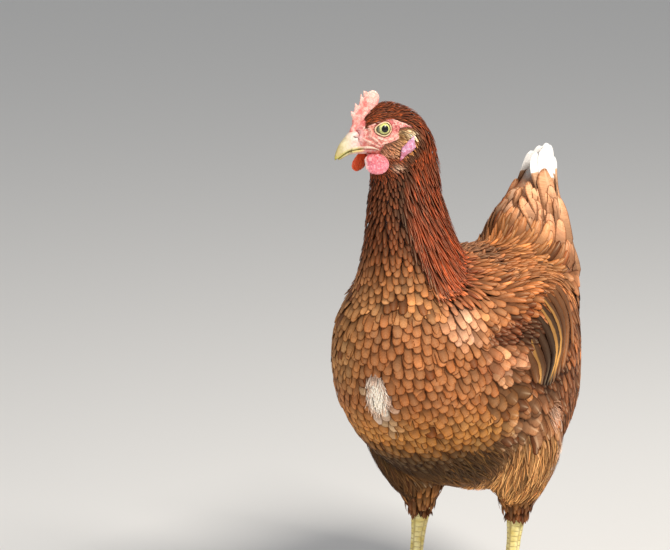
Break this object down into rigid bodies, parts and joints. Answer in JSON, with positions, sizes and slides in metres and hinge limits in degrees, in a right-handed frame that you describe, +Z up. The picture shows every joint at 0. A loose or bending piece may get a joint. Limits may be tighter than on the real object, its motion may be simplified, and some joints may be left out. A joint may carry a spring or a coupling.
{
  "type": "laying hen model",
  "caption": "Life-size still model of a brown laying hen standing alert, neck raised, head turned to the right, tail held high.",
  "frame": {"origin": "on the floor, under the middle of the hen's box", "axes": "+Z up, the hen faces -Y and her left side is at +X"},
  "size_m": [0.1663, 0.2845, 0.4586],
  "materials": {
    "breast_feather": "soft matt feather",
    "back_feather": "matt feather",
    "hackle_feather": "slightly glossy feather",
    "wing_feather": "matt feather",
    "tail_feather": "matt feather",
    "thigh_feather": "fluffy feather",
    "face_skin": "bare skin",
    "comb_skin": "fleshy, slightly glossy",
    "ear_lobe": "bare skin",
    "horn": "satin horn",
    "leg_scale": "scaly, satin",
    "eye": "wet gloss"
  },
  "bodies": {
    "root": {"beak_lower": "horn", "beak_upper": "horn", "breast": "breast_feather", "claw_hind_left": "horn", "claw_hind_right": "horn", "claw_inner_left": "horn", "claw_inner_right": "horn", "claw_middle_left": "horn", "claw_middle_right": "horn", "claw_outer_left": "horn", "claw_outer_right": "horn", "comb": "comb_skin", "ear_lobe_left": "ear_lobe", "ear_lobe_right": "ear_lobe", "eye_left": "eye", "eye_right": "eye", "head": "face_skin", "neck": "hackle_feather", "shank_left": "leg_scale", "shank_right": "leg_scale", "tail": "tail_feather", "thigh_left": "thigh_feather", "thigh_right": "thigh_feather", "toe_hind_left": "leg_scale", "toe_hind_right": "leg_scale", "toe_inner_left": "leg_scale", "toe_inner_right": "leg_scale", "toe_middle_left": "leg_scale", "toe_middle_right": "leg_scale", "toe_outer_left": "leg_scale", "toe_outer_right": "leg_scale", "trunk": "back_feather", "wattle_left": "comb_skin", "wattle_right": "comb_skin", "wing_left": "wing_feather", "wing_right": "wing_feather"}
  },
  "joints": []
}
